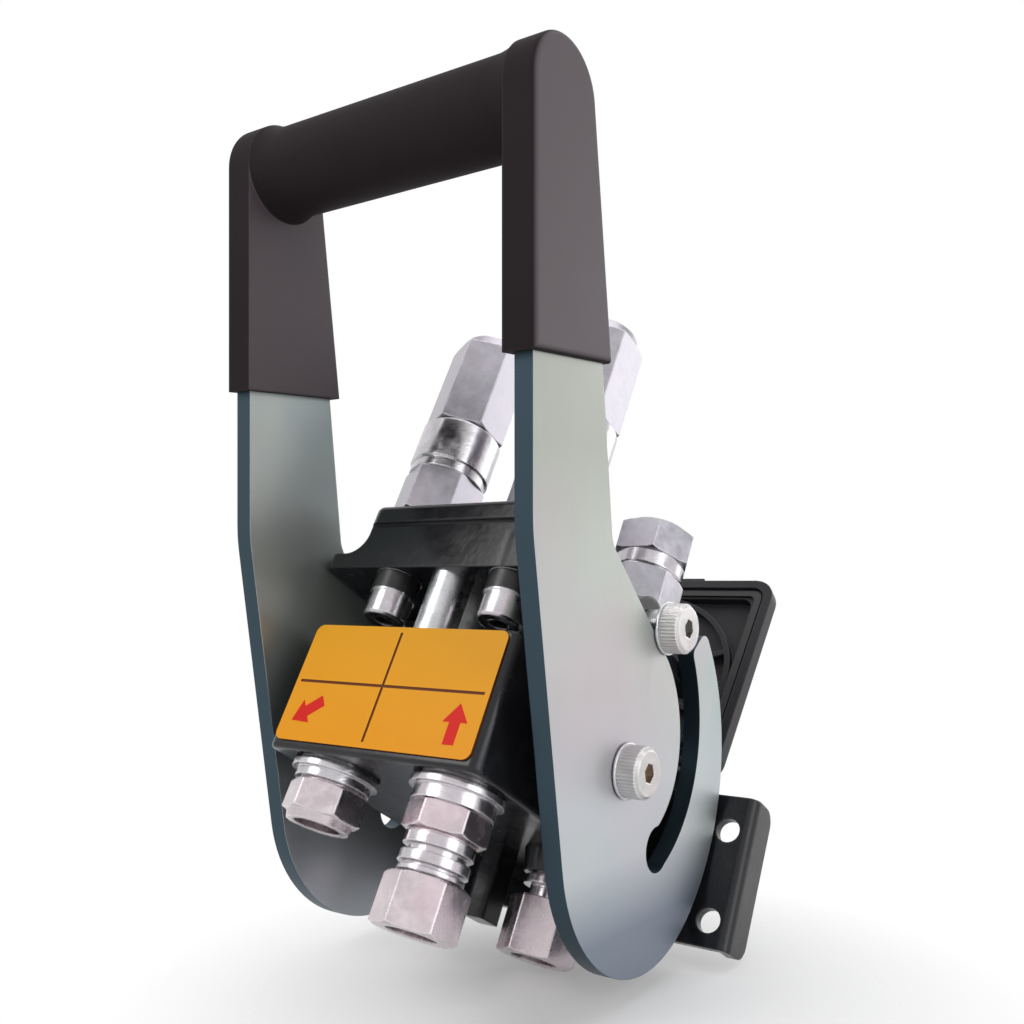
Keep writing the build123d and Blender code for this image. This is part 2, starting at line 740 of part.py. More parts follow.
with BuildPart() as rear_cones:
    for x, n in rear_places:
        cone(x, n, rear_cone_bottom, block_bottom, rear_cone_low_diameter, rear_cone_top_diameter)
keep("rear_cones", rear_cones.part)

with BuildPart() as rear_necks:
    for x, n in rear_places:
        step_top = rear_cone_bottom
        for height, diameter in rear_neck_steps:
            disc(x, n, step_top - height, step_top, diameter)
            step_top -= height
keep("rear_necks", rear_necks.part)

with BuildPart() as rear_hose_nuts:
    for x, n in rear_places:
        hexagon(x, n, rear_line_end, rear_nut_top, nut_flats, rotation=rear_nut_turn)
        disc(x, n, rear_line_end, rear_line_end + port_depth, port_diameter, mode=Mode.SUBTRACT)
keep("rear_hose_nuts", rear_hose_nuts.part)

# Moving half
cast_centre_n = (cast_front + cast_rear) / 2
cast_length = cast_rear - cast_front

with BuildPart() as mobile_casting:
    with BuildSketch(at(0, cast_centre_n, cast_bottom)):
        RectangleRounded(flange_width, cast_length, flange_corner)
    extrude(amount=flange_top - cast_bottom)
    with BuildSketch(facing(0, cast_front, 0)):
        with BuildLine():
            half = cast_width / 2
            Polyline((-half, flange_top + flange_blend), (-half, cast_top), (half, cast_top),
                     (half, flange_top + flange_blend))
            RadiusArc((half, flange_top + flange_blend), (half + flange_blend, flange_top), -flange_blend)
            Polyline((half + flange_blend, flange_top), (half + flange_blend, flange_top - overlap),
                     (-half - flange_blend, flange_top - overlap), (-half - flange_blend, flange_top))
            RadiusArc((-half - flange_blend, flange_top), (-half, flange_top + flange_blend), -flange_blend)
        make_face()
    extrude(amount=cast_length)
    with BuildSketch(at(0, cast_centre_n, rim_bottom)):
        RectangleRounded(cast_width + 2 * rim_proud, cast_length + 2 * rim_proud, rim_corner)
    extrude(amount=cast_top - rim_bottom)
    rim_top = mobile_casting.faces().sort_by(Axis(pivot_point, axis_u))[-1]
    fillet(rim_top.outer_wire().edges(), rim_fillet)
    for side in (-1, 1):
        with BuildSketch(across(side * (cast_width / 2 - overlap), pin_offset, pin_height)):
            Circle(cam_boss_diameter / 2)
        extrude(amount=side * (boss_face - cast_width / 2 + overlap))
        with BuildSketch(across(side * boss_face, pin_offset, pin_height)):
            Circle(cam_thread_diameter / 2)
        extrude(amount=-side * cam_thread_length, mode=Mode.SUBTRACT)
    for x, n in socket_places:
        disc(x, n, cast_bottom, nozzle_seat_top, nozzle_seat_diameter, mode=Mode.SUBTRACT)
    for n in (guide_front_n, guide_rear_n):
        disc(0, n, cast_bottom, cast_bottom + guide_seat_depth, guide_diameter, mode=Mode.SUBTRACT)
keep("mobile_casting", mobile_casting.part)

with BuildPart() as male_nozzles:
    for x, n in socket_places:
        disc(x, n, cast_bottom, nozzle_seat_top, nozzle_seat_diameter)
        disc(x, n, nozzle_bottom + nozzle_tip_height, cast_bottom, nozzle_diameter)
        disc(x, n, nozzle_bead_bottom, nozzle_collar_bottom, nozzle_bead_diameter)
        cone(x, n, nozzle_bottom, nozzle_bottom + nozzle_tip_height,
             nozzle_diameter - 2 * nozzle_tip_bevel, nozzle_diameter)
        disc(x, n, nozzle_bottom, nozzle_seat_top, flow_diameter, mode=Mode.SUBTRACT)
        disc(x, n, nozzle_seat_top - passage_depth, nozzle_seat_top, passage_diameter, mode=Mode.SUBTRACT)
keep("male_nozzles", male_nozzles.part)

with BuildPart() as nozzle_collars:
    for x, n in socket_places:
        disc(x, n, nozzle_collar_bottom, cast_bottom, nozzle_collar_diameter)
        disc(x, n, nozzle_collar_bottom, cast_bottom, nozzle_diameter, mode=Mode.SUBTRACT)
keep("nozzle_collars", nozzle_collars.part)

with BuildPart() as guide_pins:
    for n in (guide_front_n, guide_rear_n):
        disc(0, n, guide_bottom + guide_tip_height, cast_bottom + guide_seat_depth, guide_diameter)
        cone(0, n, guide_bottom, guide_bottom + guide_tip_height, guide_diameter - 2 * guide_tip_bevel,
             guide_diameter)
keep("guide_pins", guide_pins.part)

with BuildPart() as long_fitting_bases:
    for x, n in front_places:
        hexagon(x, n, cast_top, long_collar_bottom, fitting_flats)
        disc(x, n, cast_top, long_collar_bottom, flow_diameter, mode=Mode.SUBTRACT)
keep("long_fitting_bases", long_fitting_bases.part)

with BuildPart() as long_fitting_collars:
    for x, n in front_places:
        disc(x, n, long_collar_bottom, long_collar_step, long_collar_low_diameter)
        disc(x, n, long_collar_step, long_collar_bevel, long_collar_diameter)
        cone(x, n, long_collar_bevel, long_collar_top, long_collar_diameter, fitting_flats)
        disc(x, n, long_collar_bottom, long_collar_top, flow_diameter, mode=Mode.SUBTRACT)
keep("long_fitting_collars", long_fitting_collars.part)

with BuildPart() as long_fitting_bodies:
    for x, n in front_places:
        hexagon(x, n, long_collar_top, long_hexagon_top, fitting_flats)
        cone(x, n, long_hexagon_top, long_line_end, long_end_low_diameter, long_end_diameter)
        disc(x, n, long_line_end - port_depth, long_line_end, port_diameter, mode=Mode.SUBTRACT)
        disc(x, n, long_collar_top, long_line_end, flow_diameter, mode=Mode.SUBTRACT)
keep("long_fitting_bodies", long_fitting_bodies.part)

with BuildPart() as short_fitting_bases:
    for x, n in upper_rear_places:
        hexagon(x, n, cast_top, short_collar_bottom, fitting_flats)
        disc(x, n, cast_top, short_collar_bottom, flow_diameter, mode=Mode.SUBTRACT)
keep("short_fitting_bases", short_fitting_bases.part)

with BuildPart() as short_fitting_collars:
    for x, n in upper_rear_places:
        cone(x, n, short_collar_bottom, short_collar_step, short_collar_low_diameter, short_collar_diameter)
        disc(x, n, short_collar_step, short_collar_top, short_collar_diameter)
        disc(x, n, short_collar_bottom, short_collar_top, flow_diameter, mode=Mode.SUBTRACT)
keep("short_fitting_collars", short_fitting_collars.part)

with BuildPart() as short_fitting_nuts:
    for x, n in upper_rear_places:
        hexagon(x, n, short_collar_top, short_nut_top, short_nut_flats, rotation=0)
        cone(x, n, short_nut_top, short_line_end, short_end_low_diameter, short_end_diameter)
        disc(x, n, short_line_end - short_port_depth, short_line_end, port_diameter, mode=Mode.SUBTRACT)
        disc(x, n, short_collar_top, short_line_end, flow_diameter, mode=Mode.SUBTRACT)
keep("short_fitting_nuts", short_fitting_nuts.part)

# Mounting bracket with the knuckles of the lid hinge
bracket_middle_u = (bracket_top + bracket_bottom) / 2
bracket_height = bracket_top - bracket_bottom
screw_rows = (bracket_centre_u - bracket_screw_u, bracket_centre_u + bracket_screw_u)
screw_places = [(x, u) for x in (-bracket_screw_x, bracket_screw_x) for u in screw_rows]

with BuildPart() as mounting_bracket:
    with BuildSketch(at(0, 0, bracket_bottom)):
        with BuildLine():
            wide = bracket_half_width
            Polyline((-wide, bracket_return_rear), (-wide, neck_rear), (wide, neck_rear),
                     (wide, bracket_return_rear), (wide - bracket_thickness, bracket_return_rear),
                     (wide - bracket_thickness, mount_n), (-wide + bracket_thickness, mount_n),
                     (-wide + bracket_thickness, bracket_return_rear), (-wide, bracket_return_rear))
        make_face()
    extrude(amount=bracket_height)
    bends = mounting_bracket.edges().filter_by(Axis(pivot_point, axis_u)).filter_by(
        lambda e: abs(HALVES.to_local_coords(e.center()).Y - neck_rear) < match_tolerance
    )
    fillet(bends, bracket_bend_radius)
    wing_tips = mounting_bracket.edges().filter_by(Axis.X).filter_by(
        lambda e: abs(HALVES.to_local_coords(e.center()).Y - bracket_return_rear) < match_tolerance
    )
    fillet(wing_tips, bracket_corner)
    for x in (-hinge_knuckle_x, hinge_knuckle_x):
        with BuildSketch(across(x, hinge_n, hinge_u)):
            Circle(hinge_barrel / 2)
            with Locations((-hinge_barrel / 2 + bracket_thickness / 2, (bracket_top - hinge_u) / 2 - overlap)):
                Rectangle(bracket_thickness, hinge_u - bracket_top + 2 * overlap)
            Circle(hinge_pin_diameter / 2, mode=Mode.SUBTRACT)
        extrude(amount=hinge_knuckle_width / 2, both=True)
    with BuildSketch(facing(0, neck_rear, bracket_centre_u)):
        with GridLocations(2 * bracket_hole_x, bracket_hole_pitch, 2, 2):
            Circle(bracket_hole_diameter / 2)
        with GridLocations(2 * bracket_screw_x, 2 * bracket_screw_u, 2, 2):
            Circle(bracket_screw_diameter / 2)
    extrude(amount=bracket_thickness, mode=Mode.SUBTRACT)
    for x, u in screw_places:
        with BuildSketch(facing(x, mount_n, u)):
            Circle(bracket_screw_head / 2)
        with BuildSketch(facing(x, mount_n - bracket_screw_cone, u)):
            Circle(bracket_screw_diameter / 2)
        loft(mode=Mode.SUBTRACT)
keep("mounting_bracket", mounting_bracket.part)

with BuildPart() as bracket_screws:
    for x, u in screw_places:
        with BuildSketch(facing(x, mount_n, u)):
            Circle(bracket_screw_head / 2)
        with BuildSketch(facing(x, mount_n - bracket_screw_cone, u)):
            Circle(bracket_screw_diameter / 2)
        loft()
        with BuildSketch(facing(x, mount_n - bracket_screw_cone, u)):
            Circle(bracket_screw_diameter / 2)
        extrude(amount=bracket_screw_cone - bracket_thickness - bracket_screw_depth + bracket_screw_end_gap)
        with BuildSketch(facing(x, mount_n, u)):
            RegularPolygon(bracket_screw_socket / 2, 6, major_radius=False)
        extrude(amount=-bracket_socket_depth, mode=Mode.SUBTRACT)
keep("bracket_screws", bracket_screws.part)

with BuildPart() as hinge_pin:
    with BuildSketch(across(0, hinge_n, hinge_u)):
        Circle(hinge_pin_diameter / 2)
    extrude(amount=hinge_knuckle_x + hinge_knuckle_width / 2 + hinge_pin_proud, both=True)
keep("hinge_pin", hinge_pin.part)

# Dust lid, drawn in its own plane: the rim faces forward, local y runs up the lid
lid_up = axis_u * cos(radians(lid_lean)) + axis_n * sin(radians(lid_lean))
lid_back = axis_n * cos(radians(lid_lean)) - axis_u * sin(radians(lid_lean))
hinge_point = HALVES.from_local_coords(Vector(0, hinge_n, hinge_u))
LID = Plane(origin=hinge_point - lid_back * lid_rim, x_dir=(-1, 0, 0), z_dir=lid_back)
lid_middle = (lid_start + lid_end) / 2
lid_height = lid_end - lid_start
floor_depth = lid_depth - lid_floor
barrel_half = hinge_knuckle_x - hinge_knuckle_width / 2 - body_gap


def lid_frame(inset, corner, mode=Mode.ADD):
    """A rounded rectangle that keeps a distance from the lid's edge."""
    with Locations((0, lid_middle)):
        RectangleRounded(2 * (lid_half_width - inset), lid_height - 2 * inset, corner, mode=mode)


with BuildPart() as dust_lid:
    with BuildSketch(LID):
        lid_frame(0, lid_corner)
    extrude(amount=lid_depth)
    back_edges = dust_lid.faces().sort_by(Axis(hinge_point, lid_back))[-1].edges()
    fillet(back_edges, lid_back_fillet)
    with BuildSketch(LID):
        lid_frame(lid_wall, lid_corner - lid_wall)
    extrude(amount=lid_step_depth, mode=Mode.SUBTRACT)
    with BuildSketch(LID):
        lid_frame(lid_wall + lid_step_width, lid_inner_corner)
    extrude(amount=floor_depth, mode=Mode.SUBTRACT)
    with BuildSketch(LID.offset(floor_depth)):
        with Locations((0, lid_end - lid_ring_below_top)):
            Circle(lid_ring_radius)
            Circle(lid_ring_radius - lid_rib, mode=Mode.SUBTRACT)
            with PolarLocations(lid_ring_radius - lid_spoke_inset, lid_spokes, start_angle=180 / lid_spokes):
                Rectangle(lid_spoke_length, lid_rib)
            Rectangle(2 * lid_ring_radius - lid_rib, lid_rib)
        lid_frame(lid_wall + lid_step_width - overlap, lid_inner_corner, mode=Mode.INTERSECT)
    extrude(amount=-lid_rib_height)
    with BuildSketch(LID.offset(lid_depth)):
        with Locations((0, lid_end)):
            Trapezoid(lid_tab_width, 2 * lid_tab_height, lid_tab_slope)
    extrude(amount=-lid_tab_thickness)
    for x in (-barrel_half + hinge_arm_width / 2, barrel_half - hinge_arm_width / 2):
        with BuildSketch(Plane(origin=hinge_point + Vector(x, 0, 0), x_dir=lid_back, z_dir=(1, 0, 0))):
            Circle(lid_rim)
        extrude(amount=hinge_arm_width / 2, both=True)
    for x in (-hinge_knuckle_x, hinge_knuckle_x):
        with BuildSketch(Plane(origin=hinge_point + Vector(x, 0, 0), x_dir=lid_back, z_dir=(1, 0, 0))):
            Circle(hinge_barrel / 2 + hinge_barrel_gap)
        extrude(amount=hinge_knuckle_width / 2 + body_gap, both=True, mode=Mode.SUBTRACT)
    with BuildSketch(Plane(origin=hinge_point, x_dir=lid_back, z_dir=(1, 0, 0))):
        Circle(hinge_pin_diameter / 2 + running_play)
    extrude(amount=lid_half_width, both=True, mode=Mode.SUBTRACT)
keep("dust_lid", dust_lid.part)

with BuildPart() as lid_seal:
    with BuildSketch(LID.offset(lid_step_depth - lid_seal_rise)):
        lid_frame(lid_wall + lid_seal_gap, lid_corner - lid_wall - lid_seal_gap)
        lid_frame(lid_wall + lid_seal_gap + lid_seal_width, lid_seal_inner_corner, mode=Mode.SUBTRACT)
    extrude(amount=lid_seal_rise)
keep("lid_seal", lid_seal.part)

os.makedirs("parts", exist_ok=True)
for name, part in parts.items():
    export_step(part, f"parts/{name}.step")
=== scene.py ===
import math
import bpy
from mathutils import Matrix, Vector


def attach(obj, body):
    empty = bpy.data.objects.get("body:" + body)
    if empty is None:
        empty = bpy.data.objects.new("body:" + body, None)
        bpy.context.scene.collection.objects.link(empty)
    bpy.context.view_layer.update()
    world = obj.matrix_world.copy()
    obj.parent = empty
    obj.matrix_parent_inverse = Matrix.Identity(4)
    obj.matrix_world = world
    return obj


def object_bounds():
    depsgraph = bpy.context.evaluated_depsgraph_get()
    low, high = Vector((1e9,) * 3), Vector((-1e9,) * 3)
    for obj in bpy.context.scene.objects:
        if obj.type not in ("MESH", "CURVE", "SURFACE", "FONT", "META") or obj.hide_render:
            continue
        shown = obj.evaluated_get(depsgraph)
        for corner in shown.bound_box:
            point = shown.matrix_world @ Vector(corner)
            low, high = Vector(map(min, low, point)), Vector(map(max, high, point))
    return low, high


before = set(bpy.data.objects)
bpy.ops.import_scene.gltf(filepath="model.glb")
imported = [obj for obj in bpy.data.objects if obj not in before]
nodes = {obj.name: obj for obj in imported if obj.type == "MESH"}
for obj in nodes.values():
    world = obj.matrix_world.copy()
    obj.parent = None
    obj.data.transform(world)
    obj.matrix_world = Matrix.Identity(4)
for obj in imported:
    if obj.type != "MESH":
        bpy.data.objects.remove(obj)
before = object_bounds()

# Places, in metres. The halves lean back by LEAN; n points to the rear and u runs up their axes.
LEAN = math.radians(30)
AXIS_U = Vector((0, math.sin(LEAN), math.cos(LEAN)))
AXIS_N = Vector((0, math.cos(LEAN), -math.sin(LEAN)))
PIVOT_AHEAD = 0.079           # from the bracket's face forward to the pivot
PIVOT_ABOVE = 0.0095          # from the bracket's centre up to the pivot
PIVOT = AXIS_U * PIVOT_ABOVE - AXIS_N * PIVOT_AHEAD

# Zinc plates: heights and sideways places where painted reflections and painted shade change the colour
PLATE_OUTSIDE = (0.0585, 0.0610)
ARM_PAINTED_DARK_REFLECTION = (0.085, 0.150)
MIDDLE_PAINTED_PALE_REFLECTION = (0.075, 0.040)
FOOT_PAINTED_SHADE = (0.020, -0.004)

# Orange panel
PANEL_LOW = -0.0200           # from the pivot, along the halves' axes
PANEL_HIGH = 0.0220
PANEL_GROOVE_FLOOR = (0.0526, 0.0527)   # in front of the pivot
ARROW_LENGTH = 0.0135
ARROW_WIDTH = 0.0095
ARROW_HEAD = 0.0062
ARROW_SHAFT = 0.0042
ARROW_N = -52.8               # the panel's face, in millimetres from the pivot
ARROW_U = -9.5
INK = 0.00012

# Brass plugs in the hexagon sockets of the pivot screws
HEAD_SEAT = 0.0632
HEAD_HEIGHT = 0.0074
SOCKET_DEPTH = 0.0050
PLUG_RADIUS = 0.0029
PLUG_THICKNESS = 0.0006
PLUG_SIDES = 24

# Floor
FLOOR_SIZE = 3.0
FLOOR_GAP = 0.002             # between the lowest point and the floor
SHADOW_CENTRE = (0.04, -0.06)
SHADOW_SPAN = (0.03, 0.15)

# World and camera
WORLD_LIGHT = 0.42            # strength of the white surroundings as a light
WORLD_SEEN = 1.0              # and as they are seen
CAMERA_PLACE = Vector((0.2373, -0.3117, 0.06135))   # from the pivot
CAMERA_TURN = 35.24
CAMERA_LENS = 38.86
CAMERA_SHIFT = 0.0668


def halves(x, n, u):
    """A point given in the halves' own frame, in millimetres."""
    return PIVOT + Vector((x, 0, 0)) / 1000 + AXIS_N * (n / 1000) + AXIS_U * (u / 1000)


# Materials
class Paint:
    """A node material under construction."""

    def __init__(self, name):
        self.mat = bpy.data.materials.new(name)
        self.mat.use_nodes = True
        self.tree = self.mat.node_tree
        self.bsdf = self.tree.nodes["Principled BSDF"]
        self.coord = self.tree.nodes.new("ShaderNodeTexCoord").outputs["Object"]

    def new(self, kind, **settings):
        node = self.tree.nodes.new(kind)
        for key, value in settings.items():
            setattr(node, key, value)
        return node

    def put(self, socket, value):
        if isinstance(value, (int, float)):
            socket.default_value = value
        elif isinstance(value, (tuple, list)):
            colour_without_alpha = len(value) == 3 and len(socket.default_value) == 4
            socket.default_value = tuple(value) + ((1.0,) if colour_without_alpha else ())
        else:
            self.tree.links.new(value, socket)

    def set(self, name, value):
        self.put(self.bsdf.inputs[name], value)

    def math(self, operation, a, b=0.5, clamp=False):
        node = self.new("ShaderNodeMath", operation=operation, use_clamp=clamp)
        self.put(node.inputs[0], a)
        self.put(node.inputs[1], b)
        return node.outputs[0]

    def mix(self, factor, a, b, blend="MIX"):
        node = self.new("ShaderNodeMix", data_type="RGBA", blend_type=blend)
        self.put(node.inputs[0], factor)
        self.put(node.inputs[6], a)
        self.put(node.inputs[7], b)
        return node.outputs[2]

    def span(self, value, low, high, out_low=0.0, out_high=1.0):
        node = self.new("ShaderNodeMapRange", clamp=True)
        for index, item in enumerate((value, low, high, out_low, out_high)):
            self.put(node.inputs[index], item)
        return node.outputs[0]

    def turned(self, scale=(1, 1, 1), lean=False):
        node = self.new("ShaderNodeMapping")
        self.put(node.inputs[0], self.coord)
        if lean:
            node.inputs["Rotation"].default_value = (LEAN, 0, 0)
        node.inputs["Scale"].default_value = scale
        return node.outputs[0]

    def noise(self, scale, detail=3.0, rough=0.5, stretch=(1, 1, 1), lean=False):
        node = self.new("ShaderNodeTexNoise")
        self.put(node.inputs["Vector"], self.turned(stretch, lean))
        self.put(node.inputs["Scale"], scale)
        self.put(node.inputs["Detail"], detail)
        self.put(node.inputs["Roughness"], rough)
        return node.outputs[0]

    def axis(self, index, lean=False):
        node = self.new("ShaderNodeSeparateXYZ")
        self.put(node.inputs[0], self.turned((1, 1, 1), lean))
        return node.outputs[index]

    def rounding(self, radius):
        node = self.new("ShaderNodeBevel", samples=4)
        self.put(node.inputs["Radius"], radius)
        return node.outputs[0]

    def edges(self, radius):
        """1 on sharp edges and 0 on plain faces."""
        geometry = self.new("ShaderNodeNewGeometry")
        dot = self.new("ShaderNodeVectorMath", operation="DOT_PRODUCT")
        self.put(dot.inputs[0], self.rounding(radius))
        self.put(dot.inputs[1], geometry.outputs["Normal"])
        return self.span(dot.outputs["Value"], 0.98, 0.86)

    def facing_side(self, low, high):
        """1 on faces square to X and 0 on the others."""
        split = self.new("ShaderNodeSeparateXYZ")
        self.put(split.inputs[0], self.new("ShaderNodeNewGeometry").outputs["Normal"])
        return self.span(self.math("ABSOLUTE", split.outputs[0]), low, high)

    def bump(self, height, strength, distance, radius=None):
        node = self.new("ShaderNodeBump")
        self.put(node.inputs["Height"], height)
        self.put(node.inputs["Strength"], strength)
        self.put(node.inputs["Distance"], distance)
        if radius:
            self.put(node.inputs["Normal"], self.rounding(radius))
        self.set("Normal", node.outputs[0])

    def use(self, *names):
        for name in names:
            data = nodes[name].data
            data.materials.clear()
            data.materials.append(self.mat)


def zinc_sheet():
    """Plated sheet steel: soft brushing, clouds of pale blue, green and pink, dark blued cut edges, and
    painted reflections and painted shade at set heights.
    """
    p = Paint("zinc_sheet")
    cloud = p.noise(13, 3, 0.55, (1, 1, 0.55))
    drift = p.noise(8, 2, 0.5, (1, 1.3, 0.8))
    stain = p.noise(30, 5, 0.6, (1, 1, 0.5))
    base = p.mix(p.span(cloud, 0.38, 0.62), (0.38, 0.43, 0.45), (0.50, 0.53, 0.49))
    base = p.mix(p.span(drift, 0.5, 0.68), base, (0.50, 0.43, 0.47))
    base = p.mix(p.span(drift, 0.44, 0.30), base, (0.30, 0.40, 0.385))
    base = p.mix(p.span(stain, 0.56, 0.72, 0, 0.35), base, (0.33, 0.36, 0.38))
    height = p.axis(2)
    outside = p.span(p.math("ABSOLUTE", p.axis(0)), *PLATE_OUTSIDE)
    # Painted dark reflection: the outer faces of the arms turn darker towards the top.
    base = p.mix(p.math("MULTIPLY", outside, p.span(height, *ARM_PAINTED_DARK_REFLECTION)), base, (0.30, 0.315, 0.285))
    # Painted pale reflection: the plates turn paler below the middle height.
    base = p.mix(p.span(height, *MIDDLE_PAINTED_PALE_REFLECTION, 0, 0.55), base, (0.56, 0.60, 0.64))
    # Painted shade: the plates turn dark towards their feet, most on the outer faces.
    low = p.math("MULTIPLY", p.span(outside, 0, 1, 0.30, 0.85), p.span(height, *FOOT_PAINTED_SHADE))
    base = p.mix(low, base, (0.19, 0.225, 0.29))
    base = p.mix(p.facing_side(0.4, 0.75), (0.040, 0.066, 0.085), base)
    p.set("Base Color", base)
    p.set("Metallic", 0.92)
    grain = p.noise(900, 2, 0.6, (1, 1, 0.03))
    rough = p.span(cloud, 0.3, 0.7, 0.34, 0.46)
    p.set("Roughness", p.math("ADD", rough, p.math("MULTIPLY", grain, 0.06)))
    p.bump(grain, 0.10, 0.0001, 0.0006)
    p.use("lever_plate_right", "lever_plate_left")


def grip_plastic():
    """Satin moulded plastic with a fine grain, slightly paler arrises and a painted sheen on the faces square
    to X.
    """
    p = Paint("grip_plastic")
    worn = p.noise(24, 4, 0.55)
    # Painted sheen: the faces square to X get a paler colour than the rest of the grip.
    flat = p.facing_side(0.55, 0.95)
    dark = p.mix(p.span(worn, 0.3, 0.7), (0.020, 0.016, 0.018), (0.027, 0.021, 0.024))
    pale = p.mix(p.span(worn, 0.3, 0.7), (0.070, 0.054, 0.062), (0.086, 0.067, 0.077))
    base = p.mix(flat, dark, pale)
    base = p.mix(p.math("MULTIPLY", p.edges(0.0012), 0.4), base, (0.10, 0.085, 0.09))
    p.set("Base Color", base)
    p.set("Roughness", p.math("ADD", p.span(worn, 0.3, 0.7, 0.0, 0.08), p.span(flat, 0, 1, 0.62, 0.48)))
    p.set("Specular IOR Level", p.span(flat, 0, 1, 0.06, 0.40))
    p.bump(p.noise(2600, 2, 0.5), 0.10, 0.0001, 0.0012)
    p.use("lever_grip")


def casting_paint(name, rough, targets):
    """Thick glossy black paint with orange peel over a cast surface."""
    p = Paint(name)
    dust = p.noise(120, 5, 0.65)
    base = p.mix(p.span(dust, 0.55, 0.75, 0, 0.5), (0.010, 0.0105, 0.013), (0.032, 0.033, 0.038))
    base = p.mix(p.math("MULTIPLY", p.edges(0.0012), 0.35), base, (0.09, 0.09, 0.10))
    p.set("Base Color", base)
    p.set("Roughness", p.span(dust, 0.35, 0.75, rough, rough + 0.14))
    p.set("Specular IOR Level", 0.30)
    p.set("Coat Weight", 0.14)
    p.set("Coat Roughness", 0.12)
    peel = p.math("ADD", p.noise(420, 2, 0.5), p.math("MULTIPLY", p.noise(95, 3, 0.5), 0.9))
    p.bump(peel, 0.16, 0.0003, 0.0012)
    p.use(*targets)


def lid_plastic():
    """Moulded black plastic with a fine grain."""
    p = Paint("lid_plastic")
    cloud = p.noise(40, 4, 0.6)
    base = p.mix(p.span(cloud, 0.35, 0.7), (0.014, 0.014, 0.017), (0.030, 0.030, 0.034))
    base = p.mix(p.math("MULTIPLY", p.edges(0.0010), 0.6), base, (0.12, 0.12, 0.13))
    p.set("Base Color", base)
    p.set("Roughness", p.span(cloud, 0.3, 0.7, 0.40, 0.52))
    p.set("Specular IOR Level", 0.25)
    p.bump(p.noise(1900, 2, 0.5), 0.16, 0.0001, 0.0008)
    p.use("dust_lid")


def plated(name, tint, rough, targets, rings=0.0, milled=0.0):
    """Plated steel fittings: fine turned rings or milling marks, a light mottle and bright arrises."""
    p = Paint(name)
    mottle = p.noise(150, 5, 0.62)
    broad = p.noise(45, 2, 0.5)
    dark = tuple(c * 0.78 for c in tint)
    base = p.mix(p.span(mottle, 0.40, 0.66), dark, tint)
    base = p.mix(p.span(broad, 0.50, 0.66, 0, 0.4), base, (tint[0] * 1.02, tint[1] * 0.90, tint[2] * 0.95))
    base = p.mix(p.math("MULTIPLY", p.edges(0.0008), 0.7), base, (0.93, 0.92, 0.92))
    p.set("Base Color", base)
    p.set("Metallic", 1.0)
    p.set("Roughness", p.span(mottle, 0.35, 0.68, rough, rough + 0.14))
    height = p.math("MULTIPLY", p.noise(700, 3, 0.6), 0.6)
    if rings:
        turned = p.noise(1400, 1, 0.5, (0.02, 0.02, 1), True)
        height = p.math("ADD", height, p.math("MULTIPLY", turned, rings))
    if milled:
        streaks = p.noise(1100, 2, 0.5, (1, 1, 0.04), True)
        height = p.math("ADD", height, p.math("MULTIPLY", streaks, milled))
    p.bump(height, 0.12, 0.0002, 0.0008)
    p.use(*targets)


def rubber():
    """Black rubber."""
    p = Paint("rubber")
    cloud = p.noise(200, 4, 0.6)
    p.set("Base Color", p.mix(cloud, (0.008, 0.008, 0.010), (0.022, 0.022, 0.024)))
    p.set("Roughness", p.span(cloud, 0.3, 0.7, 0.28, 0.42))
    p.bump(p.noise(900, 2, 0.5), 0.08, 0.0001, 0.0004)
    p.use("socket_seals", "lid_seal", "nozzle_collars")


def bronze():
    """Plain bearing bronze."""
    p = Paint("bronze")
    cloud = p.noise(160, 4, 0.6)
    p.set("Base Color", p.mix(cloud, (0.50, 0.33, 0.16), (0.66, 0.47, 0.26)))
    p.set("Metallic", 1.0)
    p.set("Roughness", p.span(cloud, 0.3, 0.7, 0.30, 0.44))
    p.bump(p.noise(900, 2, 0.5), 0.10, 0.0001)
    p.use("pivot_bushes", "guide_bushes")
    return p.mat


def panel_print():
    """Orange plate, a little deeper towards its lower edge, with dark brown dividing grooves."""
    p = Paint("panel_print")
    u = p.axis(2, True)
    n = p.axis(1, True)
    cloud = p.noise(60, 3, 0.5)
    top = p.mix(cloud, (0.90, 0.40, 0.012), (0.94, 0.43, 0.018))
    low = p.mix(cloud, (0.95, 0.36, 0.008), (0.98, 0.40, 0.012))
    height = p.span(u, PIVOT_ABOVE + PANEL_LOW, PIVOT_ABOVE + PANEL_HIGH)
    base = p.mix(height, low, top)
    groove_top, groove_floor = (-PIVOT_AHEAD - depth for depth in reversed(PANEL_GROOVE_FLOOR))
    deep = p.span(n, groove_top, groove_floor)
    face = p.new("ShaderNodeNewGeometry")
    lean = p.new("ShaderNodeVectorMath", operation="DOT_PRODUCT")
    p.put(lean.inputs[0], face.outputs["Normal"])
    lean.inputs[1].default_value = tuple(-AXIS_N)
    flat = p.span(lean.outputs["Value"], 0.5, 0.9)
    base = p.mix(p.math("MAXIMUM", deep, p.math("SUBTRACT", 1.0, flat)), base, (0.16, 0.035, 0.006))
    p.set("Base Color", base)
    p.set("Roughness", p.span(cloud, 0.3, 0.7, 0.30, 0.38))
    p.set("Specular IOR Level", 0.12)
    p.bump(p.noise(500, 2, 0.5), 0.03, 0.0001)
    p.use("front_panel")


def red_print():
    """Red ink of the two plain arrows."""
    p = Paint("red_print")
    cloud = p.noise(90, 3, 0.5)
    p.set("Base Color", p.mix(cloud, (0.74, 0.012, 0.008), (0.82, 0.020, 0.012)))
    p.set("Roughness", 0.36)
    p.set("Specular IOR Level", 0.12)
    p.bump(p.noise(500, 2, 0.5), 0.03, 0.0001)
    return p.mat


